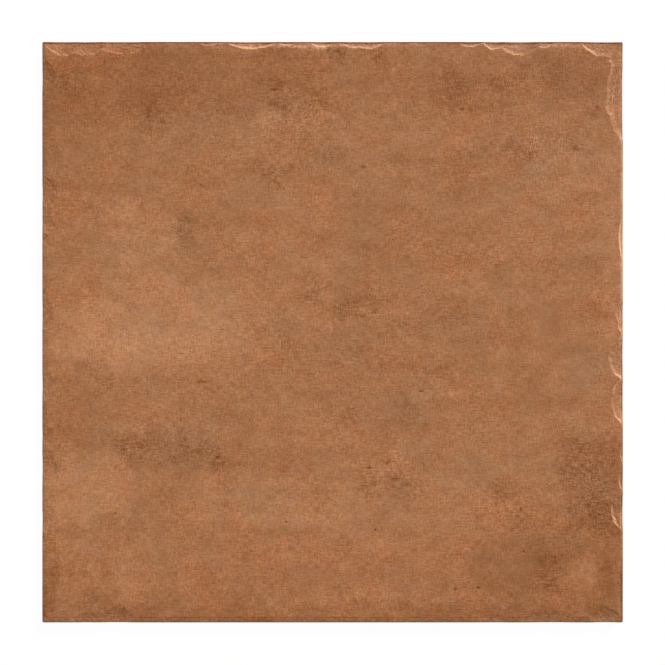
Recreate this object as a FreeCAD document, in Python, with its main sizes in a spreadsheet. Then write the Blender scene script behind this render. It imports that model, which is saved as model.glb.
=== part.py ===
import FreeCAD, Part

import math
import os

import Sketcher
from FreeCAD import Vector

# A square floor tile of red clay, pressed in a die and fired: one solid piece.
# It lies on its back, face up. The origin is the middle of the bedding side, +Z is up
# and +Y is north, the far side of the tile as it is seen from above.
#
# The face is flat. Its border is moulded to look hand-broken: each of the four edges drops by a small
# step to a ledge that falls gently outwards, and chips of many sizes bite further into the face.
# The back has a plain border and a lattice of low ribs, which key into the bed of adhesive.

# Driving sizes in millimetres. The three ratios say how far a slope runs or falls for each millimetre.
SIZES = [
    ("side", 450.0, "length of each side of the tile"),
    ("thickness", 9.5, "from the bedding side to the face"),
    ("corner_round", 1.2, "radius of the four upright corners"),
    ("heel_height", 3.5, "height of the drafted foot of the walls"),
    ("heel_inset", 0.6, "how far the walls draw in at that foot"),
    ("north_ledge", 1.6, "width of the plain ledge along the north edge"),
    ("east_ledge", 1.2, "the same along the east edge"),
    ("south_ledge", 4.4, "the same along the south edge"),
    ("west_ledge", 3.5, "the same along the west edge"),
    ("north_step", 0.6, "height of the step from the face down to the plain ledge along the north edge"),
    ("east_step", 0.6, "the same along the east edge"),
    ("south_step", 0.25, "the same along the south edge"),
    ("west_step", 0.25, "the same along the west edge"),
    ("step_lean", 0.8, "run of a step for each millimetre that it drops"),
    ("ledge_fall", 0.15, "fall of a ledge for each millimetre that it runs outwards"),
    ("least_border", 14.0, "least width of the plain border on the back"),
    ("rib_pitch", 30.0, "spacing of the ribs on the back, both ways"),
    ("rib_width", 3.0, "width of a rib at its tip"),
    ("rib_height", 0.8, "height of the ribs, the depth of the hollows between them"),
    ("rib_draft", 0.6, "run of a rib's flank for each millimetre of its height"),
]

# The chips: edge, place of the middle as a share of the side, counted from the west or the south end,
# then length at the wall, bite into the face and step at the broken line, all three in millimetres.
CHIPS = [
    ("north", 0.040, 34.0, 10.6, 0.6),
    ("north", 0.076, 34.0, 10.4, 0.5),
    ("north", 0.138, 45.0, 10.0, 0.4),
    ("north", 0.286, 19.0, 3.0, 0.6),
    ("north", 0.360, 42.0, 5.8, 0.9),
    ("north", 0.422, 16.0, 3.0, 0.6),
    ("north", 0.482, 20.0, 4.4, 0.8),
    ("north", 0.538, 22.0, 5.0, 0.8),
    ("north", 0.562, 26.0, 5.5, 0.8),
    ("north", 0.736, 19.0, 4.0, 0.7),
    ("north", 0.780, 21.0, 6.0, 0.9),
    ("north", 0.822, 33.0, 11.0, 0.7),
    ("north", 0.863, 16.0, 5.0, 0.6),
    ("north", 0.969, 39.0, 11.5, 0.9),
    ("east", 0.047, 54.0, 4.7, 0.5),
    ("east", 0.191, 28.0, 9.5, 0.9),
    ("east", 0.244, 16.0, 3.5, 0.8),
    ("east", 0.291, 14.0, 2.4, 0.6),
    ("east", 0.382, 37.0, 9.0, 0.6),
    ("east", 0.456, 34.0, 11.5, 0.9),
    ("east", 0.511, 10.0, 4.0, 0.7),
    ("east", 0.533, 20.0, 6.0, 0.6),
    ("east", 0.662, 38.0, 3.5, 0.9),
    ("east", 0.896, 62.0, 9.5, 2.3),
    ("east", 0.908, 74.0, 13.0, 0.8),
    ("east", 0.973, 36.0, 10.0, 0.7),
    ("south", 0.078, 23.0, 8.0, 0.3),
    ("south", 0.129, 34.0, 11.5, 0.3),
    ("south", 0.776, 31.0, 6.6, 0.3),
    ("south", 0.876, 50.0, 9.4, 0.3),
    ("south", 0.969, 28.0, 11.5, 0.3),
    ("west", 0.176, 26.0, 12.0, 0.3),
    ("west", 0.267, 31.0, 11.0, 0.3),
    ("west", 0.322, 17.0, 8.5, 0.3),
    ("west", 0.407, 25.0, 10.0, 0.3),
    ("west", 0.531, 32.0, 8.5, 0.3),
    ("west", 0.660, 11.0, 5.5, 0.3),
    ("west", 0.687, 17.0, 9.0, 0.3),
    ("west", 0.709, 14.0, 7.0, 0.3),
    ("west", 0.738, 28.0, 11.0, 0.3),
    ("west", 0.938, 28.0, 11.0, 0.2),
]
CHIP_FIELDS = ("share", "length", "bite", "step")

# How far the cutting tools stand clear of the tile.
CLEAR = 2.0
OUTWARDS = {"north": (0, 1), "east": (1, 0), "south": (0, -1), "west": (-1, 0)}


def make_sheet(doc):
    """Writes every driving size into the document's sheet, one row for each, and names its cell."""
    sheet = doc.addObject("Spreadsheet::Sheet", "sizes")
    rows = list(SIZES)
    for number, (edge, *values) in enumerate(CHIPS, 1):
        for field, value in zip(CHIP_FIELDS, values):
            rows.append((f"chip_{number}_{field}", value, f"of a chip in the {edge} edge"))
    for row, (alias, value, meaning) in enumerate(rows, 1):
        sheet.set(f"A{row}", alias)
        sheet.set(f"B{row}", str(value))
        sheet.set(f"C{row}", meaning)
        sheet.setAlias(f"B{row}", alias)
    doc.recompute()
    return sheet


def add_sketch(body, name, plane, offset):
    """Adds a sketch on one of the body's own origin planes. offset gives the sketch's origin as expressions."""
    sketch = body.newObject("Sketcher::SketchObject", name)
    origin_plane = next(f for f in body.Origin.OriginFeatures if f.Role == plane)
    sketch.AttachmentSupport = [(origin_plane, "")]
    sketch.MapMode = "FlatFace"
    for axis, expression in zip("xyz", offset):
        sketch.setExpression(f"AttachmentOffset.Base.{axis}", expression)
    return sketch


def draw_polygon(sketch, corners):
    """Draws a closed polygon. Each corner is two expressions, each bound to the sketch's origin by a constraint
    of its own; one that is None lies on the sketch's upright axis. A leading minus sign sets the side."""
    count = len(corners)
    turns = [2 * math.pi * index / count for index in range(count)]
    start = [Vector(math.cos(turn), math.sin(turn), 0) for turn in turns]
    for index in range(count):
        sketch.addGeometry(Part.LineSegment(start[index], start[(index + 1) % count]))
    for index in range(count):
        joint = Sketcher.Constraint("Coincident", index, 2, (index + 1) % count, 1)
        sketch.addConstraint(joint)
    for index, corner in enumerate(corners):
        for kind, expression in zip(("DistanceX", "DistanceY"), corner):
            if expression is None:
                sketch.addConstraint(Sketcher.Constraint("PointOnObject", index, 1, -2))
                continue
            negative = expression.startswith("-")
            ends = (index, 1, -1, 1) if negative else (-1, 1, index, 1)
            number = sketch.addConstraint(Sketcher.Constraint(kind, *ends, 1.0))
            sketch.setExpression(f"Constraints[{number}]", expression.lstrip("-"))
    return sketch


def draw_square(sketch, side):
    """Draws a square about the sketch's origin; side is an expression."""
    half = f"({side}) / 2"
    return draw_polygon(
        sketch,
        [(f"-{half}", f"-{half}"), (half, f"-{half}"), (half, half), (f"-{half}", half)],
    )


def make_blank(body):
    """The pressed slab: upright walls above the die's parting line and drafted ones below it."""
    outline = add_sketch(body, "outline", "XY_Plane", ("0", "0", "0"))
    draw_square(outline, "sizes.side")
    slab = body.newObject("PartDesign::Pad", "slab")
    slab.Profile = outline
    slab.setExpression("Length", "sizes.thickness")
    body.Document.recompute()

    upright = [
        f"Edge{number}"
        for number, edge in enumerate(slab.Shape.Edges, 1)
        if edge.BoundBox.ZLength > edge.BoundBox.XLength + edge.BoundBox.YLength
    ]
    rounding = body.newObject("PartDesign::Fillet", "corner_rounding")
    rounding.Base = (slab, upright)
    rounding.setExpression("Radius", "sizes.corner_round")
    body.Document.recompute()

    heights = [face.CenterOfMass.z for face in rounding.Shape.Faces]
    number = heights.index(min(heights)) + 1
    heel = body.newObject("PartDesign::Chamfer", "heel")
    heel.Base = (rounding, [f"Face{number}"])
    heel.ChamferType = "Two distances"
    heel.setExpression("Size", "sizes.heel_height")
    heel.setExpression("Size2", "sizes.heel_inset")
    return heel


def cut_ledge(body, edge):
    """Cuts the plain ledge along one whole edge: the step down from the face, then the falling ledge."""
    east, north = OUTWARDS[edge]
    sign = "" if east + north > 0 else "-"
    plane = "YZ_Plane" if north else "XZ_Plane"
    profile = add_sketch(
        body, f"{edge}_ledge_profile", plane, (f"{sign}sizes.side / 2", "sizes.thickness", "0")
    )
    width = f"sizes.{edge}_ledge"
    step = f"sizes.{edge}_step"
    inwards, outwards = ("-", "") if sign == "" else ("", "-")
    lean = f"{CLEAR} * sizes.step_lean"
    foot = f"({width} - {step} * sizes.step_lean)"
    fall = f"({step} + ({foot} + {CLEAR}) * sizes.ledge_fall)"
    draw_polygon(
        profile,
        [
            (f"{inwards}({width} + {lean})", f"{CLEAR}"),
            (f"{inwards}{foot}", f"-{step}"),
            (f"{outwards}{CLEAR}", f"-{fall}"),
            (f"{outwards}{CLEAR}", f"{CLEAR}"),
        ],
    )
    ledge = body.newObject("PartDesign::Pocket", f"{edge}_ledge")
    ledge.Profile = profile
    ledge.Type = "ThroughAll"
    ledge.Midplane = True
    return ledge


def cut_chip(body, number, edge):
    """Cuts one chip: the mark of a shallow cone that stands on its point outside the wall. Where the cone
    meets the face, it leaves the arc of the broken line."""
    share, length, bite, step = (f"sizes.chip_{number}_{field}" for field in CHIP_FIELDS)
    radius = f"(({length} * {length} / 4 + {bite} * {bite}) / (2 * {bite}))"
    east, north = OUTWARDS[edge]
    out = f"(sizes.side / 2 + {radius} - {bite}) * {east + north}"
    along = f"({share} - 0.5) * sizes.side"
    x, y = (along, out) if north else (out, along)
    profile = add_sketch(
        body, f"chip_{number}_profile", "XZ_Plane", (x, "sizes.thickness", f"-({y})")
    )
    foot = f"({radius} - {step} * sizes.step_lean)"
    draw_polygon(
        profile,
        [
            (None, f"{CLEAR}"),
            (f"{radius} + {CLEAR} * sizes.step_lean", f"{CLEAR}"),
            (foot, f"-{step}"),
            (None, f"-({step} + {foot} * sizes.ledge_fall)"),
        ],
    )
    chip = body.newObject("PartDesign::Groove", f"chip_{number}_{edge}")
    chip.Profile = profile
    chip.ReferenceAxis = (profile, ["V_Axis"])
    chip.Angle = 360
    return chip


def press_back(body):
    """Presses the keyed back: a square grid of shallow cells, which leaves the border and the ribs standing."""
    count = "floor((sizes.side - 2 * sizes.least_border + sizes.rib_width) / sizes.rib_pitch)"
    span = f"({count} - 1) * sizes.rib_pitch"
    axes = {feature.Role: feature for feature in body.Origin.OriginFeatures}

    # On this plane the wedge narrows along the body's Z and its own Z is the body's -Y.
    cell = body.newObject("PartDesign::SubtractiveWedge", "first_cell")
    cell.AttachmentSupport = [(axes["XZ_Plane"], "")]
    cell.MapMode = "FlatFace"
    cell.setExpression("AttachmentOffset.Base.x", f"-{span} / 2")
    cell.setExpression("AttachmentOffset.Base.z", f"{span} / 2")
    mouth = "(sizes.rib_pitch - sizes.rib_width) / 2"
    bottom = f"({mouth} - sizes.rib_height * sizes.rib_draft)"
    for axis in "XZ":
        cell.setExpression(f"{axis}min", f"-{mouth}")
        cell.setExpression(f"{axis}max", mouth)
        cell.setExpression(f"{axis}2min", f"-{bottom}")
        cell.setExpression(f"{axis}2max", bottom)
    cell.setExpression("Ymin", "0")
    cell.setExpression("Ymax", "sizes.rib_height")

    cells = body.newObject("PartDesign::LinearPattern", "cells")
    cells.Originals = [cell]
    for way, axis in (("", "X_Axis"), ("2", "Y_Axis")):
        setattr(cells, f"Direction{way}", (axes[axis], [""]))
        setattr(cells, f"Mode{way}", "Extent")
        cells.setExpression(f"Length{way}", span)
        cells.setExpression(f"Occurrences{way}", count)
    body.Tip = cells


CUTS = ("PartDesign::Groove", "PartDesign::Pocket", "PartDesign::SubtractiveWedge")


def check(doc):
    """Stops if a feature failed, or if one that cuts left the tile no smaller than it was."""
    failed = [o.Name for o in doc.Objects if "Invalid" in o.State or "Error" in o.State]
    if failed:
        raise RuntimeError(f"failed features: {failed}")
    for feature in doc.Objects:
        if feature.TypeId in CUTS:
            if feature.Shape.Volume >= feature.BaseFeature.Shape.Volume:
                raise RuntimeError(f"{feature.Name} cuts nothing")


def main():
    doc = FreeCAD.newDocument("floor_tile")
    make_sheet(doc)
    tile = doc.addObject("PartDesign::Body", "tile")
    make_blank(tile)
    for edge in OUTWARDS:
        cut_ledge(tile, edge)
    for number, (edge, *_) in enumerate(CHIPS, 1):
        cut_chip(tile, number, edge)
    doc.recompute()
    press_back(tile)
    doc.recompute()
    check(doc)

    shape = tile.Shape
    if shape.isNull() or not shape.isValid() or len(shape.Solids) != 1:
        raise RuntimeError("the tile isn't one valid solid")
    os.makedirs("parts", exist_ok=True)
    shape.exportStep(f"parts/{tile.Label}.step")
    box = shape.optimalBoundingBox()
    print(f"tile: {box.XLength:.2f} x {box.YLength:.2f} x {box.ZLength:.2f} mm, {len(shape.Faces)} faces")
    print(f"volume {shape.Volume / 1000:.1f} cm3")


main()
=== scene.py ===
# %% [markdown]
# # A terracotta floor tile
# The real object is one slab of red clay, pressed in a steel die, printed and fired. Seen from above it
# is a plain square, so nearly all of its character is in three things: the mottled colour of the face,
# the fine sandy grain, and the border, which is moulded to look as if the tile had been broken by hand.
# The CAD part holds the size, the chips and the ribbed back. This script loads it, builds a finer skin
# over the same shape, and gives that skin its finish.

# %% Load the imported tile
import math

import bmesh
import bpy
import numpy as np
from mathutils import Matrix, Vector, noise
from mathutils.bvhtree import BVHTree


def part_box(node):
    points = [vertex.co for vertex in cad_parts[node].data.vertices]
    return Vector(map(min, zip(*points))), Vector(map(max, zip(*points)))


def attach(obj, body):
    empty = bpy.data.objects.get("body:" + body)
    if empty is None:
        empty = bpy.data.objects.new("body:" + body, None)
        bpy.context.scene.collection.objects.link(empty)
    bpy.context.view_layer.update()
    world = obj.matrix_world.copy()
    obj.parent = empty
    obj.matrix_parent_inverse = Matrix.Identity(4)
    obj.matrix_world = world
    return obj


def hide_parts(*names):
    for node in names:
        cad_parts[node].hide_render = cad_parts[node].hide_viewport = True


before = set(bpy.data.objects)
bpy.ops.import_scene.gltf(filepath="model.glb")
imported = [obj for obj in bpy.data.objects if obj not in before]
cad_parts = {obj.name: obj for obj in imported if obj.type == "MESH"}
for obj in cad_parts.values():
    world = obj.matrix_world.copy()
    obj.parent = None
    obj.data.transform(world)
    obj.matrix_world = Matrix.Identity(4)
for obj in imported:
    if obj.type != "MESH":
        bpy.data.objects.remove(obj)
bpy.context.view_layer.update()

MM = 0.001
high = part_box("tile")[1]
HALF_SIDE = high.x
FACE_LEVEL = high.z
print(f"side {2 * HALF_SIDE / MM:.1f} mm, face at {FACE_LEVEL / MM:.2f} mm")

# %% [markdown]
# ## The camera
# A tile is photographed for a catalogue from straight above. A long lens far away keeps the walls out of
# sight, as they are in the photograph. The picture's width in metres follows from how much of it the tile
# fills, and the camera's height follows from that width and from the lens.

# %% Place the camera straight above the face
PICTURE_PX = 665
TILE_LEFT_PX, TILE_RIGHT_PX = 42.05, 623.15
TILE_TOP_PX, TILE_BOTTOM_PX = 41.7, 622.75
LENS_MM = 100
SENSOR_MM = 36

metres_per_px = 2 * HALF_SIDE / (TILE_RIGHT_PX - TILE_LEFT_PX)
camera = bpy.data.objects.new("camera", bpy.data.cameras.new("camera"))
camera.data.lens = LENS_MM
camera.data.sensor_width = SENSOR_MM
camera.location = (
    (PICTURE_PX - TILE_LEFT_PX - TILE_RIGHT_PX) / 2 * metres_per_px,
    -(PICTURE_PX - TILE_TOP_PX - TILE_BOTTOM_PX) / 2 * metres_per_px,
    FACE_LEVEL + PICTURE_PX * metres_per_px * LENS_MM / SENSOR_MM,
)
bpy.context.scene.collection.objects.link(camera)
bpy.context.scene.camera = camera
print(f"camera {camera.location.z:.3f} m up, picture {PICTURE_PX * metres_per_px / MM:.0f} mm wide")

# %% [markdown]
# ## The broken border
# On the real tile the die has a wavy rim, which leaves a step all round the face: a thin plain ledge, and
# chips that bite up to 13 mm inwards. At the step the clay looks torn.
#
# One could displace a dense grid, but a grid's rows run straight past a wavy step and turn it into
# stairs. Here the mesh is made of loops that run round the tile like the rings of an onion, and the
# loops near the step are bent to follow it. To do that, the script first has to know where the step is,
# so it looks down on the CAD part with a fine comb of rays.

# %% Choose the stations round the tile
STATIONS = 480
DEEPEST_INSET = 17.0 * MM

# Each side is (outward direction, direction of travel); together they run once round the tile.
SIDES = [((0, 1), (-1, 0)), ((-1, 0), (0, -1)), ((0, -1), (1, 0)), ((1, 0), (0, 1))]
travel = -1 + 2 * np.arange(STATIONS) / STATIONS


def ring_points(insets):
    """Plan position of every station, each at its own inset. The corners stay on the diagonals."""
    reach = HALF_SIDE - insets.reshape(len(SIDES), STATIONS)
    sides = []
    for side, (outward, along) in zip(reach, SIDES):
        place = np.outer(side, outward) + np.outer(side * travel, along)
        sides.append(place)
    return np.concatenate(sides)


COLUMNS = STATIONS * len(SIDES)
print(f"{COLUMNS} stations, {2 * HALF_SIDE / STATIONS / MM:.2f} mm apart")

# %% Comb the CAD part with rays
COMB_PITCH = 0.05 * MM
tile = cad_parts["tile"]
rays = BVHTree.FromPolygons(
    [v.co for v in tile.data.vertices], [p.vertices for p in tile.data.polygons]
)
DOWN = Vector((0, 0, -1))
comb = np.arange(COMB_PITCH, DEEPEST_INSET, COMB_PITCH)


def cad_height(x, y):
    """Height of the CAD part's upper side at one place in plan, or nan off the tile."""
    hit = rays.ray_cast(Vector((x, y, 2 * FACE_LEVEL)), DOWN)[0]
    return hit.z if hit else np.nan


heights = np.array(
    [[cad_height(x, y) for x, y in ring_points(np.full(COLUMNS, inset))] for inset in comb]
)
# A ray outside a rounded corner misses, and takes the height of the next ray inwards.
missed = np.isnan(heights)
for row in reversed(range(len(comb) - 1)):
    heights[row] = np.where(missed[row], heights[row + 1], heights[row])
print(f"{heights.size} rays, {missed.sum()} misses, lowest hit {heights.min() / MM:.2f} mm")

# %% Find the ridge and the foot of the step at each station
SAME_LEVEL = 0.02 * MM
STEEP = 0.5
LEAST_STEP_ROWS = 4

dropped = heights < FACE_LEVEL - SAME_LEVEL
ridge_row = np.array([np.flatnonzero(column).max(initial=0) for column in dropped.T])
ridge = comb[ridge_row]

slope = np.diff(heights, axis=0) / COMB_PITCH
foot_row = ridge_row.copy()
for column in range(COLUMNS):
    row = ridge_row[column]
    nearest = ridge_row[column] - LEAST_STEP_ROWS
    while row > 0 and (slope[row - 1, column] > STEEP or row > nearest):
        row -= 1
    foot_row[column] = row
foot = comb[foot_row]
print(f"ridge {ridge.min() / MM:.1f} to {ridge.max() / MM:.1f} mm from the wall")

# %% [markdown]
# ## The loops
# Each station gets the same number of points: a few round the rim, two dozen over the ledge, eight up the
# step, a few on the shoulder behind the ridge and the rest out onto the face. Points are dense where the
# surface turns and sparse where it is flat. The steps are also eased, which makes them longer and gentler
# than in the CAD part, because the photograph shows them soft, most of all along the near side.

# %% Spread the points of each station
RIM_INSETS = np.array([0.0, 0.12, 0.3, 0.55]) * MM
LEDGE_POINTS = 24
STEP_POINTS = 8
SHOULDER_INSETS = np.array([0.15, 0.4, 0.9, 1.8]) * MM
FACE_POINTS = 3
LEAST_LEDGE = 0.2 * MM
LEAST_STEP = 0.25 * MM

# How many times longer a step gets on the north, west, south and east sides, and what each millimetre of
# a chip's bite adds to that.
SIDE_EASE = np.repeat([1.8, 4.0, 8.0, 1.8], STATIONS)
BITE_EASE = np.repeat([0.20, 0.50, 0.60, 0.20], STATIONS) / MM


def between(start, stop, count):
    """Rows of points from start to stop, without start and with stop."""
    share = np.arange(1, count + 1)[:, None] / count
    return start + (stop - start) * share


ledge_width = np.median(ridge.reshape(len(SIDES), STATIONS), axis=1).repeat(STATIONS)
bite = np.maximum(ridge - ledge_width, 0)
ease = SIDE_EASE + BITE_EASE * bite
least_foot = RIM_INSETS[-1] + LEAST_LEDGE
foot = np.maximum(ridge - ease * (ridge - foot), least_foot)
ridge = np.maximum(ridge, foot + LEAST_STEP)
rim_rows = np.repeat(RIM_INSETS[:, None], COLUMNS, axis=1)
ledge_rows = between(rim_rows[-1], foot, LEDGE_POINTS)
step_rows = between(foot, ridge, STEP_POINTS)
shoulder_rows = ridge + SHOULDER_INSETS[:, None]
face_rows = between(shoulder_rows[-1], np.full(COLUMNS, DEEPEST_INSET), FACE_POINTS)
insets = np.concatenate([rim_rows, ledge_rows, step_rows, shoulder_rows, face_rows])

row_above = np.clip(np.searchsorted(comb, insets), 1, len(comb) - 1)
share = (insets - comb[row_above - 1]) / COMB_PITCH
column_index = np.arange(COLUMNS)
lower = heights[row_above - 1, column_index]
upper = heights[row_above, column_index]
levels = lower + (upper - lower) * np.clip(share, 0, 1)
foot_loop = len(RIM_INSETS) + LEDGE_POINTS - 1
rise = levels[foot_loop + STEP_POINTS] - levels[foot_loop]
for point in range(1, STEP_POINTS):
    levels[foot_loop + point] = levels[foot_loop] + rise * point / STEP_POINTS
print(f"{insets.shape[0]} loops of {COLUMNS} points")

# %% [markdown]
# ## The torn look
# Broken clay isn't smooth. Three things are added to the CAD shape, none of them more than a few tenths
# of a millimetre: the ridge wanders, the floors of the chips carry shallow terraces like those of a
# struck flint, and the whole face sinks and swells very slightly. Noise with a fixed seed gives
# the same tile on every run. All of it goes downwards, so the tile keeps its real thickness.

# %% Let the ridge wander
PLAIN_WANDER = 0.25 * MM
CHIP_WANDER = 0.16
MOST_WANDER = 1.3 * MM
SCALLOP_LENGTH = 8.0 * MM
SCALLOP_SWING = 1.5
SCALLOP_MEAN = 0.4
TEAR_LENGTH = 3.5 * MM
WANDER_FADE = 1.6 * MM
LEAST_GAP = 0.01 * MM


def field(places, length, seed, octaves=2):
    """Smooth noise at each place in plan, about -1 to 1, with bumps about as wide as length."""
    offset = 37.0 * seed
    return np.array(
        [noise.fractal((x / length, y / length, offset), 1.0, 2.0, octaves) for x, y in places]
    )


ridge_places = ring_points(ridge)
scallops = SCALLOP_SWING * np.abs(field(ridge_places, SCALLOP_LENGTH, 1)) - SCALLOP_MEAN
tears = field(ridge_places, TEAR_LENGTH, 5, 3)
wander = np.minimum(PLAIN_WANDER + CHIP_WANDER * bite, MOST_WANDER) * (scallops + tears)
away = np.maximum(foot - insets, 0) + np.maximum(insets - ridge, 0)
near_ridge = np.exp(-away / WANDER_FADE)
room = np.clip(insets / least_foot, 0, 1)
shifted = insets + wander * near_ridge * room
for row in range(1, len(shifted)):
    shifted[row] = np.maximum(shifted[row], shifted[row - 1] + LEAST_GAP)
print(f"ridge wanders {wander.min() / MM:.2f} to {wander.max() / MM:.2f} mm")

# %% Slide the ridge sideways too
SLIDE = 0.8 * MM
FULL_BITE = 2.0 * MM

in_chip = np.clip(bite / FULL_BITE, 0, 1)
plan = np.array([ring_points(row) for row in shifted])
along = np.repeat([direction for outward, direction in SIDES], STATIONS, axis=0)
slide = SLIDE * field(ridge_places, TEAR_LENGTH, 6, 3) * in_chip
plan += (slide * near_ridge * room)[..., None] * along
print(f"slides up to {abs(slide).max() / MM:.2f} mm")

# %% Terrace the floors of the chips and let the face undulate
TERRACE_LENGTH = 9.0 * MM
TERRACE_PITCH = 3.4 * MM
TERRACES = 2.2
TERRACE_HEIGHT = 0.30 * MM
TERRACE_SINK = 0.4
RISER = 0.16
HACKLE_LENGTH = 1.8 * MM
HACKLE = 0.14 * MM
HACKLE_SINK = 0.8
PLAIN_HACKLE = 0.35
FOOT_FADE = 0.4 * MM
RIM_FADE = 0.8 * MM
SWELL_LENGTH = 45.0 * MM
SWELL = 0.10 * MM
RIM_RADIUS = 0.5 * MM
RIDGE_ROUND = 0.05 * MM
RIDGE_FADE = 0.35 * MM


def swell_at(places):
    """How far the face sinks at each place: 0 to the full swell, given as a negative height."""
    return SWELL * (field(places, SWELL_LENGTH, 4) - 1.0) / 2


flat_plan = plan.reshape(-1, 2)
shape = shifted.shape

on_floor = np.clip((foot - insets) / FOOT_FADE, 0, 1) * in_chip
phase = TERRACES * field(flat_plan, TERRACE_LENGTH, 2).reshape(shape) + insets / TERRACE_PITCH
within = phase - np.floor(phase)
riser = np.clip((within - 0.5) / RISER + 0.5, 0, 1)
terrace = TERRACE_HEIGHT * (riser - within - TERRACE_SINK)
on_clay = np.clip((ridge - insets) / FOOT_FADE, 0, 1) * np.clip(insets / RIM_FADE, 0, 1)
hackle = HACKLE * (field(flat_plan, HACKLE_LENGTH, 3).reshape(shape) - HACKLE_SINK)
hackle *= on_clay * (PLAIN_HACKLE + (1 - PLAIN_HACKLE) * in_chip)
swell = swell_at(flat_plan).reshape(shape)
at_ridge = RIDGE_ROUND * np.exp(-np.maximum(insets - ridge, 0) / RIDGE_FADE) * (insets > foot)
rim_reach = np.clip(RIM_RADIUS - insets, 0, RIM_RADIUS)
at_rim = RIM_RADIUS - np.sqrt(RIM_RADIUS**2 - rim_reach**2)
skin = levels + terrace * on_floor + hackle + swell - at_ridge - at_rim
skin = np.minimum(skin, FACE_LEVEL)
print(f"skin from {skin.min() / MM:.2f} to {skin.max() / MM:.2f} mm")

# %% [markdown]
# ## The rounded corners
# The CAD part rounds its upright corners by about a millimetre. A point near a corner is pulled onto the
# arc that has the same centre as the rounding, so the loops stay parallel all the way round.

# %% Round the corners of the loops
CORNER_ROUND = 1.2 * MM
TINY = 1e-9


def round_corners(places, row_insets):
    """Moves the points of one loop that lie beyond the centre of a corner's rounding onto its arc."""
    centre = HALF_SIDE - CORNER_ROUND
    beyond = np.abs(places) - centre
    near = (beyond > 0).all(axis=1)
    radius = np.maximum(CORNER_ROUND - row_insets, 0)
    length = np.maximum(np.hypot(beyond[:, 0], beyond[:, 1]), TINY)
    arc = np.sign(places) * (centre + beyond * (radius / length)[:, None])
    return np.where(near[:, None], arc, places)


for row in range(len(plan)):
    plan[row] = round_corners(plan[row], shifted[row])
print(f"corner point at {plan[0, 0, 0] / MM:.2f}, {plan[0, 0, 1] / MM:.2f} mm")

# %% [markdown]
# ## The ribbed back
# A tile's back has cells pressed into it, so that ribs stand between them and bite into the adhesive. It
# is never seen once the tile is laid, but the mesh is a whole closed body, so it is there. The lines of
# the lattice are read off the CAD part: cell floors lie at one height and cell mouths at zero.

# %% Read the lattice of the back
PRECISION = 6
SAME_HEIGHT = 0.01 * MM
LEAST_DEPTH = 0.1 * MM
OUTER_BAND = 10 * MM
FLANK_REACH = 2 * MM

cad_points = np.array([v.co for v in tile.data.vertices])
from_middle = np.abs(cad_points[:, :2]).max(axis=1)
inside = from_middle < HALF_SIDE - OUTER_BAND
cell_depth = np.median([z for z in cad_points[inside, 2] if LEAST_DEPTH < z < FACE_LEVEL / 2])
at_floor = inside & (np.abs(cad_points[:, 2] - cell_depth) < SAME_HEIGHT)
floor_lines = np.unique(np.round(cad_points[at_floor, 0], PRECISION))
at_mouth = np.abs(cad_points[:, 2]) < SAME_HEIGHT
inner = from_middle < floor_lines.max() + FLANK_REACH
mouth_lines = np.unique(np.round(cad_points[at_mouth & inner, 0], PRECISION))
lattice = np.sort(np.concatenate([floor_lines, mouth_lines]))
print(f"{len(floor_lines) // 2} cells each way, {cell_depth / MM:.2f} mm deep, {len(lattice)} lines")

# %% [markdown]
# ## Putting the mesh together
# bmesh takes points and faces one by one, which suits a shape that is worked out in loops. Towards
# the middle of the face three loops in turn drop every other point, because the flat part needs no such
# density, and a plain grid fills the rest. The walls hang from the rim in the same way, and the first of
# their loops follows the rim closely, so that no wall face folds over where a deep chip dips.

# %% Build the loops of the border
mesh = bmesh.new()


def add_loop(places, z_values):
    """Adds one closed loop of points and returns them."""
    return [mesh.verts.new((x, y, z)) for (x, y), z in zip(places, z_values)]


def join_loops(outer, inner_loop):
    """Fills between two loops with the same number of points."""
    count = len(outer)
    for i in range(count):
        j = (i + 1) % count
        mesh.faces.new((outer[i], outer[j], inner_loop[j], inner_loop[i]))


def thin_out(outer, inner_loop):
    """Fills between a loop and one with half as many points."""
    count = len(inner_loop)
    for i in range(count):
        j = (i + 1) % count
        first, middle, last = outer[2 * i], outer[2 * i + 1], outer[2 * j % len(outer)]
        mesh.faces.new((first, middle, inner_loop[i]))
        mesh.faces.new((middle, inner_loop[j], inner_loop[i]))
        mesh.faces.new((middle, last, inner_loop[j]))


loops = [add_loop(places, z) for places, z in zip(plan, skin)]
for outer, inner_loop in zip(loops, loops[1:]):
    join_loops(outer, inner_loop)
print(f"{len(mesh.verts)} points in loops")

# %% Fill the middle of the face
GRID_INSETS = np.array([19.0, 22.0, 26.0]) * MM


def face_at(places):
    """Level of the face at places where there is no chip."""
    return np.minimum(FACE_LEVEL + swell_at(places), FACE_LEVEL)


edge_loop = loops[-1]
every = 1
for inset in GRID_INSETS:
    every *= 2
    places = ring_points(np.full(COLUMNS, inset))[::every]
    loop = add_loop(places, face_at(places))
    thin_out(edge_loop, loop)
    edge_loop = loop

per_side = STATIONS // every
reach = HALF_SIDE - GRID_INSETS[-1]


def grid_key(x, y):
    """Column and row of a place in the grid that fills the middle."""
    return tuple(round((value + reach) * per_side / (2 * reach)) for value in (x, y))


grid = {grid_key(vertex.co.x, vertex.co.y): vertex for vertex in edge_loop}
lines = np.linspace(-reach, reach, per_side + 1)[1:-1]
places = [(x, y) for x in lines for y in lines]
for (x, y), z in zip(places, face_at(places)):
    grid[grid_key(x, y)] = mesh.verts.new((x, y, z))
for i in range(per_side):
    for j in range(per_side):
        mesh.faces.new((grid[i, j], grid[i + 1, j], grid[i + 1, j + 1], grid[i, j + 1]))
print(f"{per_side} by {per_side} faces in the middle")

# %% Mark the fired face and hang the walls from its rim
HEEL_INSET = 0.6 * MM
HEEL_HEIGHT = 3.5 * MM
BASE_ROUND = 0.2 * MM
UNDER_RIM = 0.3 * MM

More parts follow.
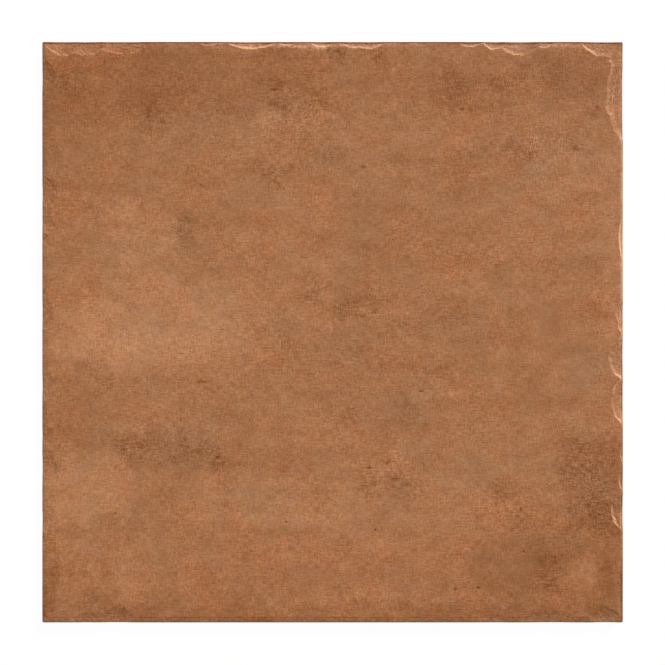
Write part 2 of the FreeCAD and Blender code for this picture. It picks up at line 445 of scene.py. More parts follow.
# Slot 0 is for the bare body, and every face that is made from here on starts with it.
FACE_SLOT = 1
for face in mesh.faces:
    face.material_index = FACE_SLOT
under_rim = skin[0] - UNDER_RIM
wall_rows = [
    (0.0, under_rim, 1, join_loops),
    (0.0, np.full(COLUMNS, 0.5 * (HEEL_HEIGHT + under_rim.min())), 2, thin_out),
    (0.0, np.full(COLUMNS, HEEL_HEIGHT), 4, thin_out),
    (HEEL_INSET * (1 - BASE_ROUND / HEEL_HEIGHT), np.full(COLUMNS, BASE_ROUND), 4, join_loops),
    (HEEL_INSET + BASE_ROUND, np.zeros(COLUMNS), 4, join_loops),
]
base_loop = loops[0]
for inset, row_levels, every, join in wall_rows:
    row_insets = np.full(COLUMNS, inset)
    places = round_corners(ring_points(row_insets), row_insets)
    loop = add_loop(places[::every], row_levels[::every])
    join(base_loop, loop)
    base_loop = loop
print(f"walls from {under_rim.min() / MM:.1f} mm at the lowest, down to the base")

# %% Press the cells into the back
floor_set = set(floor_lines)
back = {}
for i, x in enumerate(lattice):
    for j, y in enumerate(lattice):
        z = cell_depth if x in floor_set and y in floor_set else 0.0
        back[i, j] = mesh.verts.new((x, y, z))

# A face with one sunk point lies at the corner of a cell, and is folded from that point across.
last = len(lattice) - 1
for i in range(last):
    for j in range(last):
        corners = [back[i, j], back[i, j + 1], back[i + 1, j + 1], back[i + 1, j]]
        sunk = [k for k, corner in enumerate(corners) if corner.co.z > 0]
        if len(sunk) == 1:
            k = sunk[0]
            across = (k + 2) % 4
            mesh.faces.new((corners[k], corners[(k + 1) % 4], corners[across]))
            mesh.faces.new((corners[k], corners[across], corners[(k + 3) % 4]))
        else:
            mesh.faces.new(corners)

border = [(i, 0) for i in range(last)] + [(last, j) for j in range(last)]
border += [(i, last) for i in range(last, 0, -1)] + [(0, j) for j in range(last, 0, -1)]
mesh.verts.ensure_lookup_table()
rim_edges = [mesh.edges.get((a, b)) for a, b in zip(base_loop, base_loop[1:] + base_loop[:1])]
cell_edges = [
    mesh.edges.get((back[a], back[b])) for a, b in zip(border, border[1:] + border[:1])
]
bmesh.ops.triangle_fill(mesh, use_beauty=True, edges=rim_edges + cell_edges)
bmesh.ops.recalc_face_normals(mesh, faces=mesh.faces)
open_edges = [e for e in mesh.edges if not e.is_manifold]
print(f"{len(mesh.faces)} faces, {len(open_edges)} open edges")

# %% Make the tile object
for face in mesh.faces:
    face.smooth = face.calc_center_median().z > BASE_ROUND
clay = bpy.data.meshes.new("clay_tile")
mesh.to_mesh(clay)
mesh.free()
clay_tile = bpy.data.objects.new("clay_tile", clay)
bpy.context.scene.collection.objects.link(clay_tile)
triangles = sum(len(p.vertices) - 2 for p in clay.polygons)
print(f"{triangles} triangles")

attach(clay_tile, "root")
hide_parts("tile")

# %% [markdown]
# ## The colour of the face
# Terracotta is never one colour. Over the mean orange-brown lie clouds as wide as a hand, streaks that
# run across the tile, single stains and a sandy grain. All of these change how light the clay is far more
# than its hue. So the script adds up one number, the tone, from several noises and from short lists of
# regions and stains, and a ramp turns the tone into a colour once, at the end. A second
# number, the warmth, makes some places redder and others more olive, and a third leans them to green or
# plum.
#
# One could paint a picture and lay it over the face, but nodes stay sharp at any distance, and a stain
# can be moved or made paler by changing one row of a list.

# %% Helpers for material nodes
def add_node(tree, kind, values=None, **settings):
    """Adds a node, sets its properties and fills in or links its inputs."""
    made = tree.nodes.new(kind)
    for name, value in settings.items():
        setattr(made, name, value)
    for name, value in (values or {}).items():
        if isinstance(value, bpy.types.NodeSocket):
            tree.links.new(value, made.inputs[name])
        else:
            made.inputs[name].default_value = value
    return made


def maths(tree, operation, first, second=0.0, third=0.0):
    """One sum on numbers; returns the output."""
    values = {0: first, 1: second, 2: third}
    return add_node(tree, "ShaderNodeMath", values, operation=operation).outputs[0]


def vector_maths(tree, operation, first, second):
    """One sum on vectors; returns the output."""
    values = {0: first, 1: second}
    return add_node(tree, "ShaderNodeVectorMath", values, operation=operation).outputs[0]


def fade(tree, value, full, none, strength=1.0):
    """Strength where value is at full, zero where it is at none, and a soft change in between."""
    values = {"Value": value, "From Min": none, "From Max": full, "To Min": 0.0, "To Max": strength}
    made = add_node(tree, "ShaderNodeMapRange", values, interpolation_type="SMOOTHSTEP")
    return made.outputs["Result"]


def cloud(tree, place, width, detail=2.0, roughness=0.5, stretch=(1, 1, 1), dimensions="2D"):
    """Noise about zero, with features about as wide as width in metres; seldom beyond 0.2 either way."""
    values = {
        "Vector": vector_maths(tree, "MULTIPLY", place, stretch),
        "Scale": 1 / width,
        "Detail": detail,
        "Roughness": roughness,
    }
    made = add_node(tree, "ShaderNodeTexNoise", values, noise_dimensions=dimensions)
    return maths(tree, "SUBTRACT", made.outputs["Fac"], 0.5)


def mixed(tree, place, layers, start, dimensions="2D"):
    """Sum of clouds, each row being width in mm, detail, roughness, stretch and strength."""
    total = start
    for width, detail, roughness, stretch, strength in layers:
        layer = cloud(tree, place, width * MM, detail, roughness, stretch, dimensions)
        total = maths(tree, "MULTIPLY_ADD", layer, strength, total)
    return total


def linear(red, green, blue):
    """A colour given as it shows on a screen, from 0 to 255, in the linear values that nodes want."""
    channels = [max(value, 0) / 255 for value in (red, green, blue)]
    return [c / 12.92 if c <= 0.04045 else ((c + 0.055) / 1.055) ** 2.4 for c in channels] + [1.0]


print("helpers ready")

# %% Regions and stains
# Each row of these lists is centre x and y, reach in x and y, all in millimetres, and the change there.
# Broad regions, and the stains on them, that are paler or darker than the rest.
REGIONS = [
    (-174, 195, 52, 32, -0.075),
    (-32, 200, 32, 27, -0.055),
    (-157, 155, 54, 14, -0.045),
    (130, 154, 78, 14, 0.02),
    (212, -195, 12, 24, -0.09),
    (218, 118, 10, 24, 0.06),
    (218, 34, 10, 36, 0.05),
    (0, -212, 60, 12, 0.03),
    (170, -214, 44, 8, 0.04),
    (-90, 198, 76, 27, -0.075),
    (-203, 221, 17, 6, 0.06),
    (8, 200, 30, 24, -0.03),
    (120, 195, 92, 20, -0.03),
    (90, 191, 24, 14, -0.02),
    (187, 200, 28, 16, -0.03),
    (-22, 148, 56, 18, 0.03),
    (179, 128, 32, 22, 0.06),
    (100, 118, 60, 30, 0.02),
    (-147, 64, 28, 38, 0.05),
    (-135, 5, 84, 33, 0.07),
    (-147, -2, 62, 22, 0.07),
    (-201, -60, 24, 28, -0.04),
    (-120, -91, 54, 13, -0.06),
    (-190, -124, 33, 23, 0.11),
    (-38, -134, 72, 17, 0.04),
    (60, -118, 100, 45, 0.02),
    (202, -117, 25, 35, -0.10),
    (172, -184, 54, 38, -0.07),
    (140, -194, 56, 26, -0.04),
    (217, -168, 9, 30, -0.06),
    (0, -219, 226, 7, -0.08),
    (-154, -180, 16, 30, 0.04),
    (-221, -192, 7, 34, -0.10),
    (-224, 20, 11, 180, -0.01),
    (-224, 180, 11, 46, -0.04),
    (-224, -180, 11, 46, -0.03),
]
STAINS = [
    (-138, 167, 17, 14, -0.08),
    (-205, 192, 22, 16, -0.08),
    (-112, 192, 20, 18, -0.05),
    (-44, 188, 8, 7, -0.08),
    (-40, 174, 15, 9, -0.06),
    (-83, 176, 16, 11, -0.05),
    (-112, 82, 13, 14, -0.11),
    (-46, 124, 26, 10, -0.09),
    (-2, 136, 20, 11, -0.08),
    (5, 218, 6, 5, -0.14),
    (35, 211, 10, 9, -0.09),
    (90, 192, 20, 16, -0.08),
    (126, 190, 14, 12, -0.08),
    (165, 206, 20, 16, -0.06),
    (204, 175, 11, 9, -0.09),
    (149, 141, 20, 9, -0.12),
    (186, 146, 15, 11, -0.12),
    (126, 146, 20, 12, -0.05),
    (85, 111, 26, 5, -0.05),
    (16, 20, 28, 11, -0.10),
    (-14, 34, 12, 18, -0.10),
    (85, 10, 30, 11, -0.05),
    (-38, -8, 6, 5, -0.10),
    (-162, -90, 16, 12, -0.09),
    (-114, -94, 16, 10, -0.08),
    (-89, -97, 13, 8, -0.07),
    (56, -64, 20, 24, -0.08),
    (60, -46, 20, 8, 0.05),
    (22, -66, 14, 10, -0.06),
    (28, -117, 10, 10, -0.08),
    (56, -120, 15, 12, -0.09),
    (129, -122, 18, 11, -0.08),
    (150, -40, 20, 14, -0.05),
    (206, -142, 14, 18, -0.08),
    (168, -190, 12, 30, -0.09),
    (206, -213, 16, 9, -0.05),
    (-186, -208, 30, 9, -0.06),
    (72, 150, 26, 12, 0.05),
    (-165, 90, 12, 14, 0.07),
    (88, -44, 24, 9, 0.07),
    (-150, -27, 16, 18, 0.04),
    (190, -188, 14, 13, 0.13),
    (214, 77, 12, 16, 0.04),
    (-160, -196, 16, 20, 0.06),
]
# Where the clay is redder, or with a minus more olive.
REDDENINGS = [
    (0, -185, 190, 46, 0.22),
    (-205, 40, 24, 190, 0.08),
    (-190, 200, 50, 34, 0.24),
    (208, -190, 16, 26, 0.40),
    (-30, 85, 40, 26, 0.20),
    (110, 160, 26, 14, 0.32),
    (-20, -90, 50, 20, 0.18),
    (-110, 160, 50, 26, -0.32),
    (-120, 80, 24, 14, -0.28),
    (-8, 130, 26, 12, -0.40),
    (112, 138, 18, 12, -0.46),
    (152, 122, 20, 14, -0.34),
    (45, 196, 50, 24, 0.14),
    (90, 2, 40, 12, -0.36),
    (-40, 2, 20, 10, -0.26),
    (5, -12, 40, 18, -0.22),
    (-110, -4, 90, 14, -0.18),
    (200, -30, 40, 20, -0.46),
    (185, 22, 50, 16, 0.16),
    (-118, -88, 46, 20, -0.60),
    (-175, -70, 34, 26, -0.18),
    (45, -118, 16, 10, -0.26),
    (198, -114, 32, 42, -0.32),
    (-148, 62, 36, 36, -0.14),
]
# Dark flecks and pits large enough to be told apart.
FLECKS = [
    (-45, 188, 2.6, 1.8, -0.28),
    (4, 217.5, 3.0, 1.8, -0.22),
    (24, 128, 2.6, 2.2, -0.20),
    (-43, 111, 1.4, 1.3, -0.30),
    (-102, -38.5, 5.0, 1.4, -0.22),
    (68.5, -45.5, 2.4, 1.8, -0.32),
    (-89, -97, 2.6, 1.8, -0.30),
    (-168, -140, 1.1, 1.1, -0.35),
    (-73.5, -153, 1.1, 1.0, -0.30),
    (28.5, -105, 2.6, 1.6, -0.25),
    (43, -100, 3.5, 1.6, -0.22),
    (-36, -146.5, 1.4, 1.1, -0.35),
    (33, -153, 1.2, 1.2, -0.35),
    (146, -137, 1.6, 2.2, -0.28),
    (148, -170, 1.2, 1.0, -0.35),
    (95, -199, 1.6, 1.2, -0.30),
    (113, -198, 1.2, 1.2, -0.35),
    (100, 173, 1.8, 1.2, -0.25),
    (205, 174.5, 2.4, 1.6, -0.28),
]
# Where the clay leans from green to plum.
PLUMS = [
    (200, -114, 34, 44, 0.55),
    (-170, 192, 70, 36, 0.30),
    (-130, -90, 60, 24, 0.40),
    (-206, -50, 30, 40, 0.30),
    (0, -190, 230, 44, 0.22),
]
# Where the grain is coarse and full of specks, and where it is smooth.
COARSE = [
    (-142, 162, 14, 14, 0.35),
    (-33, 166, 50, 26, 0.60),
    (166, 145, 38, 28, 0.55),
    (-118, 72, 10, 22, 0.35),
    (122, 56, 16, 18, 0.40),
    (29, 17, 15, 13, 0.35),
    (56, 10, 13, 13, 0.35),
    (70, -37, 16, 24, 0.45),
    (-150, -10, 13, 15, 0.35),
    (-175, -34, 13, 15, 0.35),
    (-161, -86, 26, 17, 0.45),
    (-107, -80, 34, 24, 0.35),
    (-41, -130, 15, 15, 0.35),
    (45, -111, 32, 27, 0.35),
    (107, -76, 15, 15, 0.35),
    (134, -138, 22, 28, 0.35),
    (196, -118, 30, 50, 0.75),
    (163, -206, 16, 14, 0.40),
    (162, -20, 50, 60, -0.38),
]
# Where the broken edge is painted pale, and how much: wear, and on the north and east edges a painted
# highlight; a minus paints shade.
WEAR_AND_HIGHLIGHT = [
    (-206, 215, 12, 6, 0.35),
    (-50, 221, 64, 9, 1.1),
    (29, 219, 27, 8, 0.8),
    (115, 219, 19, 8, 1.0),
    (141, 217, 8, 8, 0.8),
    (172, 220, 18, 6, 0.9),
    (199, 218, 11, 9, 1.0),
    (213, 208, 9, 16, 0.5),
    (215, 192, 9, 16, 0.5),
    (224, 190, 4, 30, 0.8),
    (224, 40, 4, 24, 0.9),
    (224, 2, 4, 22, 0.9),
    (224, -150, 4, 20, 0.5),
    (222, -198, 7, 26, -0.7),
    (224, 110, 4, 60, 0.7),
    (222, 66, 7, 20, 1.2),
    (219, 29, 7, 8, 0.6),
    (219, -37, 8, 10, 1.2),
    (221, -67, 7, 8, 1.2),
    (223, -99, 5, 6, 0.7),
    (222, -118, 5, 8, 0.7),
    (218, -144, 10, 12, 1.3),
]
# Pale strokes along the brink of the north side: painted glints where the steps catch the light.
PAINTED_GLINTS = [
    (-36, 222.0, 18, 2.2, 0.45),
    (-15, 220.8, 17, 2.6, 0.42),
    (3, 222.2, 13, 1.8, 0.30),
    (14, 221.2, 10, 2.0, 0.12),
    (38, 222.2, 18, 1.6, 0.16),
    (66, 222.4, 12, 1.4, 0.12),
    (-88, 220.6, 10, 2.0, 0.12),
    (178, 222.0, 20, 2.2, 0.26),
    (140, 222.0, 14, 1.6, 0.12),
]
print(f"{len(REGIONS)} regions, {len(STAINS)} stains and {len(COARSE)} coarse places")

# %% Helpers that lay such lists on the face
BANK_FULL, BANK_NONE = 0.4, 1.6
SPOT_NONE = 1.2
NUDGE_ROUGHNESS = 0.6


def from_middle_of(tree, place, x, y, reach_x, reach_y):
    """The way from the middle of a patch to each place, as a vector whose length is 1 at its reach."""
    scale = (1 / (reach_x * MM), 1 / (reach_y * MM), 0)
    values = {0: place, 1: scale, 2: (-x / reach_x, -y / reach_y, 0)}
    return add_node(tree, "ShaderNodeVectorMath", values, operation="MULTIPLY_ADD").outputs[0]


def length_of(tree, vector):
    """Length of a vector; returns the output."""
    return add_node(tree, "ShaderNodeVectorMath", {0: vector}, operation="LENGTH").outputs["Value"]


def banked(tree, place, rows, start):
    """Adds up squarish patches: each is level inside and falls away where its reach ends."""
    total = start
    for *patch, change in rows:
        away = from_middle_of(tree, place, *patch)
        distance = length_of(tree, vector_maths(tree, "MULTIPLY", away, away))
        total = maths(tree, "ADD", total, fade(tree, distance, BANK_FULL, BANK_NONE, change))
    return total


def stained(tree, place, rows, start):
    """Adds up soft-edged spots: each is full in its middle and nothing a little beyond its reach."""
    total = start
    for *patch, change in rows:
        distance = length_of(tree, from_middle_of(tree, place, *patch))
        total = maths(tree, "ADD", total, fade(tree, distance, 0.0, SPOT_NONE, change))
    return total


def nudged(tree, place, width, detail, push, dimensions):
    """Moves each place sideways by noise, which makes the outlines of stains ragged. Sizes in mm."""
    values = {"Vector": place, "Scale": 1 / (width * MM), "Detail": detail, "Roughness": NUDGE_ROUGHNESS}
    noisy = add_node(tree, "ShaderNodeTexNoise", values, noise_dimensions=dimensions).outputs["Color"]
    centred = vector_maths(tree, "SUBTRACT", noisy, (0.5, 0.5, 0.5))
    shift = vector_maths(tree, "MULTIPLY", centred, (push * MM, push * MM, 0))
    return vector_maths(tree, "ADD", place, shift)


print(f"a patch is full to {BANK_FULL} and gone at {BANK_NONE} times its reach, a spot at {SPOT_NONE}")

# %% The tone and warmth of the fired face
EVEN, ACROSS, ALONG = (1, 1, 1), (0.4, 1.4, 1), (1.4, 0.4, 1)
WIDE = (0.5, 1.5, 1)
BROAD = (0.8, 1.2, 1)
PATCHES = [
    (12.0, 3.0, 0.5, BROAD, 0.23),
    (30.0, 3.0, 0.5, WIDE, 0.14),
    (130.0, 2.0, 0.5, WIDE, 0.12),
]
HUES = [
    (12.0, 3.0, 0.6, EVEN, 1.25),
    (40.0, 3.0, 0.5, EVEN, 1.2),
]
PLUM_HUES = [(9.0, 3.0, 0.6, EVEN, 5.0)]
MEAN_TONE, MEAN_WARMTH, MEAN_PLUM = 0.52, 0.5, 0.6
RAGGED_WIDTH = 22.0
RAGGED_PUSH = 45.0
SPECKLE_WIDTH = 5.0 * MM
STAIN_SPECKLE = 5.0
STAIN_GREY = 1.2

face_clay = bpy.data.materials.new("fired_face")
face_clay.use_nodes = True
tree = face_clay.node_tree
place = add_node(tree, "ShaderNodeTexCoord").outputs["Object"]
warped = nudged(tree, place, RAGGED_WIDTH, 4.0, RAGGED_PUSH, "3D")

tone = banked(tree, warped, REGIONS, mixed(tree, place, PATCHES, MEAN_TONE))
speckle = maths(tree, "MULTIPLY_ADD", cloud(tree, place, SPECKLE_WIDTH, 3.0, 0.6), STAIN_SPECKLE, 1.0)
stains = stained(tree, warped, STAINS, 0.0)
tone = maths(tree, "MULTIPLY_ADD", stains, speckle, tone)

warmth = stained(tree, warped, REDDENINGS, mixed(tree, place, HUES, MEAN_WARMTH))
warmth = maths(tree, "MULTIPLY_ADD", stains, STAIN_GREY, warmth)
plum = stained(tree, warped, PLUMS, mixed(tree, place, PLUM_HUES, MEAN_PLUM))
print(f"{len(tree.nodes)} nodes so far")

# %% [markdown]
# ## The grain
# From close by the face is sandy: fine grain everywhere, with small dark pits and pale dust in clusters.
# The grain could be one noise, but three of them, one even and two drawn out along each side of the tile,
# give the cloth-like weave that the press leaves. A Voronoi texture splits the face into cells about as
# wide as the pits lie apart, and a random few of the cells get a spot. Large flecks come from a list.

# %% Grain, pits and pale dust
GRAINS = [
    (0.8, 2.0, 0.6, EVEN, 0.62),
    (2.0, 2.0, 0.6, ACROSS, 0.42),
    (2.0, 2.0, 0.6, ALONG, 0.31),
]
COARSE_WIDTH = 40.0 * MM
STAIN_COARSE = -2.5
CLUSTER_WIDTH = 25.0 * MM

# The pitches are in millimetres, the reaches are shares of the pitch, and the shift is in metres.
PIT_PITCH, PIT_REACH, PIT_DARK = 2.6, 0.22, -0.36
DUST_PITCH, DUST_REACH, DUST_PALE = 2.2, 0.20, 0.18
DUST_SHIFT = 0.5
SPECK_FULL = 0.4

# Of the cells, the share that stays without a spot, and what clusters, coarse clay and stains add to it.
PIT_RARITY, PIT_CLUSTER, PIT_STAIN = 0.89, 2.2, 3.0
DUST_RARITY, DUST_CLUSTER = 0.93, -3.0
SPECK_COARSE = -0.13
FLECK_RAGGED = 2.5
FLECK_PUSH = 3.0
FLECK_FORCE = 1.4
GRAIN_GREY = -0.85

grain = mixed(tree, place, GRAINS, 0.0)
coarse = maths(tree, "MULTIPLY_ADD", stains, STAIN_COARSE, cloud(tree, place, COARSE_WIDTH))
coarse = stained(tree, warped, COARSE, coarse)
grain = maths(tree, "MULTIPLY", grain, maths(tree, "ADD", coarse, 1.0))


def specks(pitch, reach, shift, rarity):
    """Small round spots scattered at random, fewer where rarity is high."""
    values = {"Vector": vector_maths(tree, "ADD", place, (shift, shift, 0)), "Scale": 1 / (pitch * MM)}
    cells = add_node(tree, "ShaderNodeTexVoronoi", values)
    spot = fade(tree, cells.outputs["Distance"], reach * SPECK_FULL, reach)
    chance = add_node(tree, "ShaderNodeSeparateColor", {0: cells.outputs["Color"]}).outputs[0]
    return maths(tree, "MULTIPLY", spot, maths(tree, "GREATER_THAN", chance, rarity))


clusters = cloud(tree, place, CLUSTER_WIDTH)
pit_rarity = maths(tree, "MULTIPLY_ADD", clusters, PIT_CLUSTER, PIT_RARITY)
pit_rarity = maths(tree, "MULTIPLY_ADD", coarse, SPECK_COARSE, pit_rarity)
pit_rarity = maths(tree, "MULTIPLY_ADD", stains, PIT_STAIN, pit_rarity)
pits = specks(PIT_PITCH, PIT_REACH, 0.0, pit_rarity)
dust_rarity = maths(tree, "MULTIPLY_ADD", clusters, DUST_CLUSTER, DUST_RARITY)
dust_rarity = maths(tree, "MULTIPLY_ADD", coarse, SPECK_COARSE, dust_rarity)
dust = specks(DUST_PITCH, DUST_REACH, DUST_SHIFT, dust_rarity)
flecks = stained(tree, nudged(tree, place, FLECK_RAGGED, 2.0, FLECK_PUSH, "2D"), FLECKS, 0.0)

for marks, force in [(flecks, FLECK_FORCE), (pits, PIT_DARK), (dust, DUST_PALE)]:
    grain = maths(tree, "MULTIPLY_ADD", marks, force, grain)
tone = maths(tree, "ADD", tone, grain)
warmth = maths(tree, "MULTIPLY_ADD", grain, GRAIN_GREY, warmth)
print(f"pits about {2 * PIT_PITCH * PIT_REACH:.1f} mm wide")

# %% [markdown]
# ## The edge
# The printed coat thins out towards the edge. The outermost millimetre or two is dark, most of all on the
# far side. The broken clay behind it is painted pale in places: wear all round, and a painted highlight on
# the north and east edges, which face the sun. The east rim carries a painted highlight, and along the
# brink of the far side pale strokes are painted glints. The shader finds most of these places by itself:
# from how far out a point lies, how low it lies, and how its surface leans. Only the wear with its painted
# highlight and the painted glints come from lists.

# %% The dark rim, the painted highlight of the east rim and the painted glints
RIM_DARKS = [("Y", 1, -0.50), ("Y", -1, -0.13), ("X", 1, -0.22), ("X", -1, -0.07)]
RIM_FULL, RIM_NONE = 1.2 * MM, 1.9 * MM
WOBBLE_WIDTH, WOBBLE = 12.0 * MM, 2.0 * MM
DEEP_FULL, DEEP_NONE = 1.7 * MM, 1.0 * MM
DEEP_SHARE = 0.7
WEAR_AND_HIGHLIGHT_ALL_ROUND, MOST_WEAR_AND_HIGHLIGHT = 0.25, 1.3
# The east rim is painted paler as a painted highlight on the side that faces the sun: where it is full,
# where it is gone, and how pale.
EAST_FULL, EAST_NONE = 1.0 * MM, 3.4 * MM
EAST_HIGHLIGHT = 0.24
# The painted glints are patchy along their length, and cooler than the clay.
GLINT_WIDTH, GLINT_GRAIN = 3.0 * MM, 4.0
GLINT_COOL = -1.5

axes = add_node(tree, "ShaderNodeSeparateXYZ", {0: place})
wobble = maths(tree, "MULTIPLY", cloud(tree, place, WOBBLE_WIDTH, 3.0), WOBBLE)
rim = 0.0
for axis, turn, dark in RIM_DARKS:
    reach = maths(tree, "MULTIPLY_ADD", axes.outputs[axis], turn, wobble)
    rim = maths(tree, "ADD", rim, fade(tree, reach, HALF_SIDE - RIM_FULL, HALF_SIDE - RIM_NONE, dark))
shallow = fade(tree, axes.outputs["Z"], FACE_LEVEL - DEEP_NONE, FACE_LEVEL - DEEP_FULL, 1 - DEEP_SHARE)
tone = maths(tree, "MULTIPLY_ADD", rim, maths(tree, "ADD", shallow, DEEP_SHARE), tone)
# Wear all round, plus painted highlight on the north and east edges and painted shade where a row is
# negative.
wear_and_highlight = maths(tree, "MINIMUM", stained(tree, place, WEAR_AND_HIGHLIGHT, WEAR_AND_HIGHLIGHT_ALL_ROUND), MOST_WEAR_AND_HIGHLIGHT)
# Painted highlight along the east rim, scaled by the list of wear and highlight.
east_rim_highlight = fade(tree, axes.outputs["X"], HALF_SIDE - EAST_FULL, HALF_SIDE - EAST_NONE, EAST_HIGHLIGHT)
tone = maths(tree, "MULTIPLY_ADD", east_rim_highlight, wear_and_highlight, tone)

# Painted glints: pale, cool strokes along the north brink.
glints = stained(tree, place, PAINTED_GLINTS, 0.0)
patchy = maths(tree, "MULTIPLY_ADD", cloud(tree, place, GLINT_WIDTH, 3.0), GLINT_GRAIN, 1.0)
glints = maths(tree, "MULTIPLY", glints, patchy)
tone = maths(tree, "ADD", tone, glints)
warmth = maths(tree, "MULTIPLY_ADD", glints, GLINT_COOL, warmth)
print(f"dark rim {RIM_NONE / MM:.1f} mm wide, {len(PAINTED_GLINTS)} slivers")

# %% The broken clay and the steps
BROKEN_FULL, BROKEN_NONE = 0.3 * MM, 0.13 * MM
# Chip floors and steep steps are painted paler and cooler: wear, and on the north and east a painted
# highlight.
CHIP_WEAR_AND_HIGHLIGHT = 0.05
STEEP_FULL, STEEP_NONE = 0.80, 0.98
STEEP_WEAR_AND_HIGHLIGHT, STEEP_WEAR_AND_HIGHLIGHT_COOL = 0.35, -0.7

# The sun stands this many degrees east of north. Steps that turn their backs to it are made paler, because
# the white surroundings light them in the photograph.
SUN_FROM = 35
SHADED_FULL, SHADED_NONE = -0.72, -0.12
SHADED_PALE, SHADED_WARM = 0.40, 0.8

broken = fade(tree, axes.outputs["Z"], FACE_LEVEL - BROKEN_FULL, FACE_LEVEL - BROKEN_NONE)
normal = add_node(tree, "ShaderNodeTexCoord").outputs["Normal"]
upward = add_node(tree, "ShaderNodeSeparateXYZ", {0: normal}).outputs["Z"]
# Steep steps and chip floors painted pale and cool: wear all round, and painted highlight where the steps
# face the sun.
steep_wear_and_highlight = maths(tree, "MULTIPLY", fade(tree, upward, STEEP_FULL, STEEP_NONE), wear_and_highlight)
tone = maths(tree, "MULTIPLY_ADD", maths(tree, "MULTIPLY", broken, wear_and_highlight), CHIP_WEAR_AND_HIGHLIGHT, tone)
tone = maths(tree, "MULTIPLY_ADD", steep_wear_and_highlight, STEEP_WEAR_AND_HIGHLIGHT, tone)
warmth = maths(tree, "MULTIPLY_ADD", steep_wear_and_highlight, STEEP_WEAR_AND_HIGHLIGHT_COOL, warmth)
sunward = (math.sin(math.radians(SUN_FROM)), math.cos(math.radians(SUN_FROM)), 0)
turned = add_node(tree, "ShaderNodeVectorMath", {0: normal, 1: sunward}, operation="DOT_PRODUCT")
shaded = fade(tree, turned.outputs["Value"], SHADED_FULL, SHADED_NONE)
tone = maths(tree, "MULTIPLY_ADD", shaded, SHADED_PALE, tone)
warmth = maths(tree, "MULTIPLY_ADD", shaded, SHADED_WARM, warmth)
print(f"clay counts as broken from {BROKEN_NONE / MM:.2f} mm below the face")

# %% Turn tone, warmth and plum into colour
MEAN_CLAY = (165.5, 112.5, 77)
TONE_SWING = (106, 100, 90)
TONE_STOPS = 5
OLIVE_TINT = (0.94, 1.02, 1.10, 1.0)
RED_TINT = (1.06, 0.98, 0.90, 1.0)
GREEN_TINT = (0.995, 1.01, 0.975, 1.0)
PLUM_TINT = (1.005, 0.99, 1.025, 1.0)
COAT_GLARE = 0.020
LEAST_LIGHT = 0.003

ramp = add_node(tree, "ShaderNodeValToRGB", {"Fac": tone})
stops = ramp.color_ramp.elements
for number in range(1, TONE_STOPS - 1):
    stops.new(number / (TONE_STOPS - 1))
for stop in stops:
    shown = [mean + (stop.position - 0.5) * swing for mean, swing in zip(MEAN_CLAY, TONE_SWING)]
    red, green, blue, alpha = linear(*shown)
    stop.color = (red - COAT_GLARE, green - COAT_GLARE, max(blue - COAT_GLARE, LEAST_LIGHT), alpha)


def blend(blend_type, share, first, second):
    """Mixes two colours; returns the output."""
    made = tree.nodes.new("ShaderNodeMix")
    made.data_type = "RGBA"
    made.blend_type = blend_type
    for socket, value in zip((made.inputs[0], made.inputs[6], made.inputs[7]), (share, first, second)):
        if isinstance(value, bpy.types.NodeSocket):
            tree.links.new(value, socket)
        else:
            socket.default_value = value
    return made.outputs[2]


tint = blend("MIX", warmth, OLIVE_TINT, RED_TINT)
colour = blend("MULTIPLY", 1.0, ramp.outputs["Color"], tint)
colour = blend("MULTIPLY", 1.0, colour, blend("MIX", plum, GREEN_TINT, PLUM_TINT))
shader = tree.nodes["Principled BSDF"]
tree.links.new(colour, shader.inputs["Base Color"])
print(f"{len(tree.nodes)} nodes in the face")

# %% [markdown]
# ## How the face feels
# The face is matt but not dead: low light glances off every step that leans towards it. The grain is
# also a relief of a few hundredths of a millimetre, and crumbs of broken clay are a little higher. Both
# are too fine to model and so are given as a bump.

# %% Sheen and fine relief of the face
FACE_ROUGHNESS = 0.5
FACE_SHINE = 0.3
CRUMB_WIDTH = 1.6 * MM
GRAIN_RELIEF = 0.08 * MM
BROKEN_RELIEF = 0.3 * MM

shader.inputs["Roughness"].default_value = FACE_ROUGHNESS
shader.inputs["Specular IOR Level"].default_value = FACE_SHINE
crumbs = cloud(tree, place, CRUMB_WIDTH, 3.0, 0.7)
depth = maths(tree, "MULTIPLY_ADD", broken, BROKEN_RELIEF, GRAIN_RELIEF)
relief = maths(tree, "MULTIPLY", crumbs, depth)
bump = add_node(tree, "ShaderNodeBump", {"Height": relief, "Strength": 1.0, "Distance": 1.0})
tree.links.new(bump.outputs["Normal"], shader.inputs["Normal"])
print(f"grain {GRAIN_RELIEF / MM:.2f} mm high, crumbs {BROKEN_RELIEF / MM:.2f} mm more")

# %% [markdown]
# ## The bare body
# The walls and the back carry no print. They are plain pressed clay, rougher than the face, and evenly
# coloured but for fine grain and slow clouds, so two noises and a ramp of three colours do.

# %% The bare body of the walls and the back
BODY_LAYERS = [(1.2, 3.0, 0.7, EVEN, 1.6), (20.0, 3.0, 0.5, EVEN, 1.0)]
BODY_MEAN = linear(150, 96, 66)
BODY_PALE = linear(176, 122, 88)
BODY_DARK = linear(124, 76, 50)
BODY_ROUGHNESS = 0.8

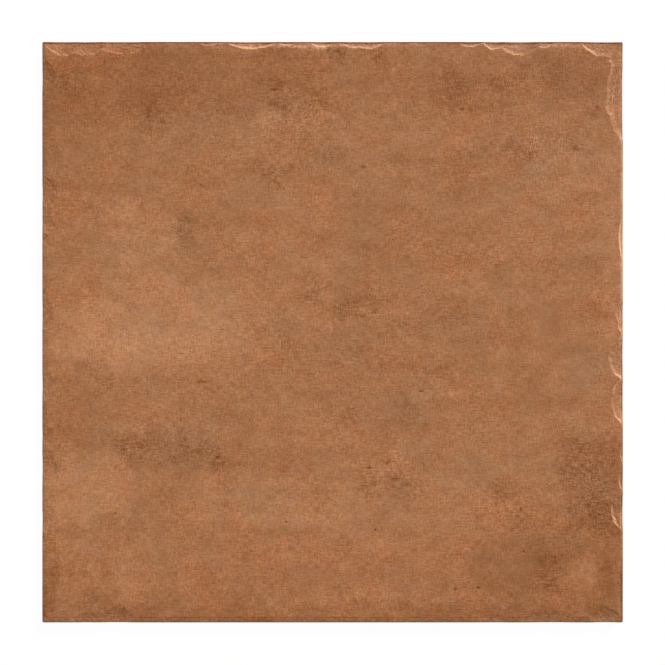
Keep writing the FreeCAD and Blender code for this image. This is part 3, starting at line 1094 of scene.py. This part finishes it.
body_clay = bpy.data.materials.new("pressed_body")
body_clay.use_nodes = True
tree = body_clay.node_tree
place = add_node(tree, "ShaderNodeTexCoord").outputs["Object"]
body_tone = mixed(tree, place, BODY_LAYERS, 0.5, "3D")
ramp = add_node(tree, "ShaderNodeValToRGB", {"Fac": body_tone})
ramp.color_ramp.elements[0].color = BODY_DARK
ramp.color_ramp.elements[1].color = BODY_PALE
ramp.color_ramp.elements.new(0.5).color = BODY_MEAN
shader = tree.nodes["Principled BSDF"]
tree.links.new(ramp.outputs["Color"], shader.inputs["Base Color"])
shader.inputs["Roughness"].default_value = BODY_ROUGHNESS
height = maths(tree, "MULTIPLY", body_tone, GRAIN_RELIEF)
bump = add_node(tree, "ShaderNodeBump", {"Height": height, "Strength": 1.0, "Distance": 1.0})
tree.links.new(bump.outputs["Normal"], shader.inputs["Normal"])
clay.materials.append(body_clay)
clay.materials.append(face_clay)
print(f"materials {[material.name for material in clay.materials]}")

# %% [markdown]
# ## Light and floor
# The photograph has white all round the tile. Soft light from the upper right rakes the face at a low
# angle, which is what makes the steps on the far and right edges shine and those on the near and left
# edges turn dark. A sun with a wide disc gives that light, and a plain pale world fills the shadows.
#
# A floor and a world bright enough to look white would throw too much light back on the tile. So they are
# white only where the camera looks at them, the world also through glass, and the tile is lit by a grey
# floor and a plain pale world.

# %% Light the tile
SUN_HEIGHT = 32
SUN_SHARE = 0.62
SUN_SOFTNESS = 16
SUN_STRENGTH = math.pi * SUN_SHARE / math.sin(math.radians(SUN_HEIGHT))
SKY_STRENGTH = 1 - SUN_SHARE
WHITE = (1, 1, 1, 1)

sun = bpy.data.objects.new("sun", bpy.data.lights.new("sun", "SUN"))
sun.data.energy = SUN_STRENGTH
sun.data.angle = math.radians(SUN_SOFTNESS)
sun.rotation_euler = (math.radians(90 - SUN_HEIGHT), 0, math.radians(180 - SUN_FROM))
bpy.context.scene.collection.objects.link(sun)

world = bpy.data.worlds.new("studio")
bpy.context.scene.world = world
world.use_nodes = True
sky = world.node_tree
path = add_node(sky, "ShaderNodeLightPath")
seen = maths(sky, "MAXIMUM", path.outputs["Is Camera Ray"], path.outputs["Is Transmission Ray"])
strength = maths(sky, "MULTIPLY_ADD", seen, 1 - SKY_STRENGTH, SKY_STRENGTH)
sky.links.new(strength, sky.nodes["Background"].inputs["Strength"])
sky.nodes["Background"].inputs["Color"].default_value = WHITE
bpy.context.scene.view_settings.view_transform = "Standard"
print(f"sun {SUN_STRENGTH:.2f}, sky {SKY_STRENGTH:.2f}")

# %% Lay the floor
FLOOR_SIZE = 8.0
FLOOR_GAP = 0.1 * MM
FLOOR_GREY = (0.8, 0.8, 0.8, 1)

# The share of the floor's white that stays white in the tile's shadow.
PLAIN_WHITE = 0.97

bpy.ops.mesh.primitive_plane_add(size=FLOOR_SIZE, location=(0, 0, -FLOOR_GAP))
floor = bpy.context.object
floor.name = "floor"
paint = bpy.data.materials.new("floor_paint")
paint.use_nodes = True
board = paint.node_tree
board.nodes.remove(board.nodes["Principled BSDF"])
path = add_node(board, "ShaderNodeLightPath")
matt = add_node(board, "ShaderNodeBsdfDiffuse", {"Color": FLOOR_GREY})
glow = add_node(board, "ShaderNodeEmission", {"Color": WHITE, "Strength": 1.0})
lit = add_node(board, "ShaderNodeBsdfDiffuse", {"Color": WHITE})
white = add_node(board, "ShaderNodeMixShader", {0: PLAIN_WHITE, 1: lit.outputs[0], 2: glow.outputs[0]})
both = add_node(
    board,
    "ShaderNodeMixShader",
    {0: path.outputs["Is Camera Ray"], 1: matt.outputs[0], 2: white.outputs[0]},
)
board.links.new(both.outputs[0], board.nodes["Material Output"].inputs["Surface"])
floor.data.materials.append(paint)
print(f"floor {FLOOR_SIZE:.0f} m wide, {FLOOR_GAP / MM:.1f} mm under the tile")

# %% [markdown]
# ## Last step
# The skin must not have changed the tile's size. The CAD part stays in the scene, hidden, beside the
# finished model.

# %% Finish
bpy.context.view_layer.update()
